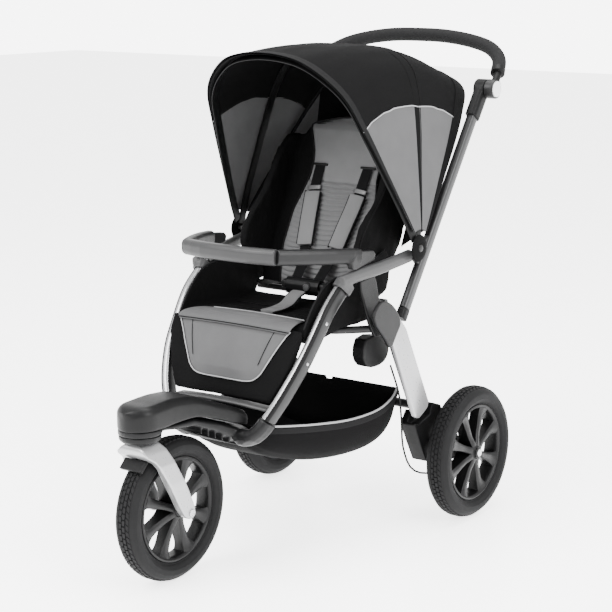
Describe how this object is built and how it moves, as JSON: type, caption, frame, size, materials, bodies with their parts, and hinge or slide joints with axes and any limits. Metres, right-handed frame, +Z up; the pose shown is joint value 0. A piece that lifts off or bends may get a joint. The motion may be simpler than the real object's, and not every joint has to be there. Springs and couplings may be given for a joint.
{
  "type": "jogging stroller",
  "caption": "Three-wheel folding jogging stroller with swivel front fork, reclining padded seat, arched canopy, arm bar, adjustable handle and hanging basket.",
  "frame": {"origin": "on the ground, at the middle of the stroller's length and width", "axes": "+Z up; the front of the stroller faces -Y; the child's left is +X"},
  "size_m": [0.6266, 1.1046, 1.1047],
  "materials": {
    "tyre": "matt rubber with block tread",
    "rim": "satin moulded",
    "black_plastic": "fine grain",
    "grey_plastic": "satin",
    "light_plastic": "satin",
    "silver_paint": "silver lacquer",
    "tube_metal": "anodised grey",
    "steel": "bright zinc",
    "black_fabric": "plain weave",
    "grey_fabric": "fine weave",
    "foam": "closed-cell foam"
  },
  "bodies": {
    "frame": {"front_arm_cover": "grey_plastic", "front_arm_base": "grey_plastic", "swivel_collar": "grey_plastic", "footrest_plate": "light_plastic", "seat_cross_tube": "tube_metal", "seat_base": "black_fabric", "leg_rest": "black_fabric", "harness_buckle": "black_plastic", "crotch_strap": "grey_fabric", "basket": "black_fabric", "front_tube_left": "tube_metal", "front_tube_right": "tube_metal", "side_rail_left": "light_plastic", "side_rail_right": "light_plastic", "side_strap_left": "grey_plastic", "side_strap_right": "grey_plastic", "pivot_shield_left": "grey_plastic", "pivot_shield_right": "grey_plastic", "lock_housing_left": "black_plastic", "lock_housing_right": "black_plastic"},
    "fork": {"fork": "silver_paint", "fork_guard": "black_plastic", "front_axle": "steel"},
    "front_wheel": {"front_tyre": "tyre", "front_rim": "rim"},
    "handle_frame": {"canopy_back_panel": "black_fabric", "push_tube_left": "tube_metal", "push_tube_right": "tube_metal", "end_plug_left": "black_plastic", "end_plug_right": "black_plastic", "handle_joint_left": "grey_plastic", "handle_joint_right": "grey_plastic"},
    "rear_legs": {"rear_cross_tube": "tube_metal", "rear_leg_left": "silver_paint", "rear_leg_right": "silver_paint", "brake_cable_left": "black_plastic", "brake_cable_right": "black_plastic"},
    "handle": {"handle_bow": "tube_metal", "handle_grip": "foam"},
    "canopy_mid": {"canopy_middle_bow": "black_plastic", "canopy_rear_fabric": "black_fabric"},
    "canopy_front": {"canopy_front_bow": "black_plastic", "canopy_front_fabric": "black_fabric"},
    "seat_hinge": {"seat_hinge_tube": "tube_metal"},
    "seat_back": {"seat_back": "black_fabric", "shoulder_harness": "grey_fabric"},
    "arm_bar": {"arm_bar_front": "light_plastic", "arm_bar_left": "grey_plastic", "arm_bar_right": "grey_plastic"},
    "buckle_button": {"buckle_button": "grey_plastic"},
    "suspension_left": {"suspension_bracket_left": "black_plastic", "rear_axle_left": "steel"},
    "rear_wheel_left": {"rear_tyre_left": "tyre", "rear_rim_left": "rim"},
    "hub_button_left": {"hub_button_left": "light_plastic"},
    "suspension_right": {"suspension_bracket_right": "black_plastic", "rear_axle_right": "steel"},
    "rear_wheel_right": {"rear_tyre_right": "tyre", "rear_rim_right": "rim"},
    "hub_button_right": {"hub_button_right": "light_plastic"}
  },
  "joints": [
    {"name": "fork_swivel", "type": "hinge", "parent": "frame", "child": "fork", "pos_m": [0, -0.491, 0.32], "axis": [0, 0, 1], "continuous": true},
    {"name": "front_wheel_spin", "type": "hinge", "parent": "fork", "child": "front_wheel", "pos_m": [0, -0.4, 0.1525], "axis": [1, 0, 0], "continuous": true},
    {"name": "frame_fold", "type": "hinge", "parent": "frame", "child": "handle_frame", "pos_m": [0, 0.185, 0.636], "axis": [1, 0, 0], "range_deg": [0, 76], "deforming": ["basket", "canopy_back_panel", "canopy_rear_fabric"]},
    {"name": "rear_leg_fold", "type": "hinge", "parent": "frame", "child": "rear_legs", "pos_m": [0, 0.06, 0.49], "axis": [1, 0, 0], "range_deg": [-76.5, 0]},
    {"name": "handle_height", "type": "hinge", "parent": "handle_frame", "child": "handle", "pos_m": [0, 0.436, 0.977], "axis": [1, 0, 0], "range_deg": [-35, 30]},
    {"name": "canopy_mid_turn", "type": "hinge", "parent": "handle_frame", "child": "canopy_mid", "pos_m": [0, 0.15, 0.648], "axis": [1, 0, 0], "range_deg": [-18, 0]},
    {"name": "canopy_front_turn", "type": "hinge", "parent": "canopy_mid", "child": "canopy_front", "pos_m": [0, 0.15, 0.648], "axis": [1, 0, 0], "range_deg": [-35, 0], "deforming": ["canopy_front_fabric"]},
    {"name": "seat_hinge_turn", "type": "hinge", "parent": "frame", "child": "seat_hinge", "pos_m": [0, 0.132, 0.522], "axis": [1, 0, 0], "range_deg": [0, 42.3], "deforming": ["shoulder_harness"]},
    {"name": "seat_recline", "type": "hinge", "parent": "seat_hinge", "child": "seat_back", "pos_m": [0, 0.132, 0.522], "axis": [1, 0, 0], "range_deg": [-40, 0], "deforming": ["canopy_back_panel"]},
    {"name": "arm_bar_lift", "type": "slide", "parent": "frame", "child": "arm_bar", "axis": [0, 0, -1], "range_m": [-0.03, 0]},
    {"name": "buckle_press", "type": "slide", "parent": "frame", "child": "buckle_button", "axis": [0, 1, 0], "range_m": [0, 0.003], "stiffness_N_per_m": 800, "springref_m": -0.001},
    {"name": "suspension_swing_left", "type": "hinge", "parent": "rear_legs", "child": "suspension_left", "pos_m": [0.226, 0.172, 0.262], "axis": [1, 0, 0], "range_deg": [0, 5], "stiffness_Nm_per_rad": 150, "springref_deg": -4.58, "deforming": ["brake_cable_left"]},
    {"name": "rear_wheel_spin_left", "type": "hinge", "parent": "suspension_left", "child": "rear_wheel_left", "pos_m": [0.282, 0.325, 0.1525], "axis": [1, 0, 0], "continuous": true},
    {"name": "hub_button_press_left", "type": "slide", "parent": "handle", "child": "hub_button_left", "axis": [-1, 0, 0], "range_m": [0, 0.003], "stiffness_N_per_m": 800, "springref_m": -0.001},
    {"name": "suspension_swing_right", "type": "hinge", "parent": "rear_legs", "child": "suspension_right", "pos_m": [-0.226, 0.172, 0.262], "axis": [1, 0, 0], "range_deg": [0, 5], "stiffness_Nm_per_rad": 150, "springref_deg": -4.58, "deforming": ["brake_cable_right"]},
    {"name": "rear_wheel_spin_right", "type": "hinge", "parent": "suspension_right", "child": "rear_wheel_right", "pos_m": [-0.282, 0.325, 0.1525], "axis": [1, 0, 0], "continuous": true},
    {"name": "hub_button_press_right", "type": "slide", "parent": "handle", "child": "hub_button_right", "axis": [1, 0, 0], "range_m": [0, 0.003], "stiffness_N_per_m": 800, "springref_m": -0.001}
  ],
  "couplings": [
    {"joint": "rear_leg_fold", "follows": "frame_fold", "ratio": -1},
    {"joint": "canopy_mid_turn", "follows": "frame_fold", "ratio": -0.2308},
    {"joint": "seat_hinge_turn", "follows": "frame_fold", "ratio": 0.55}
  ]
}
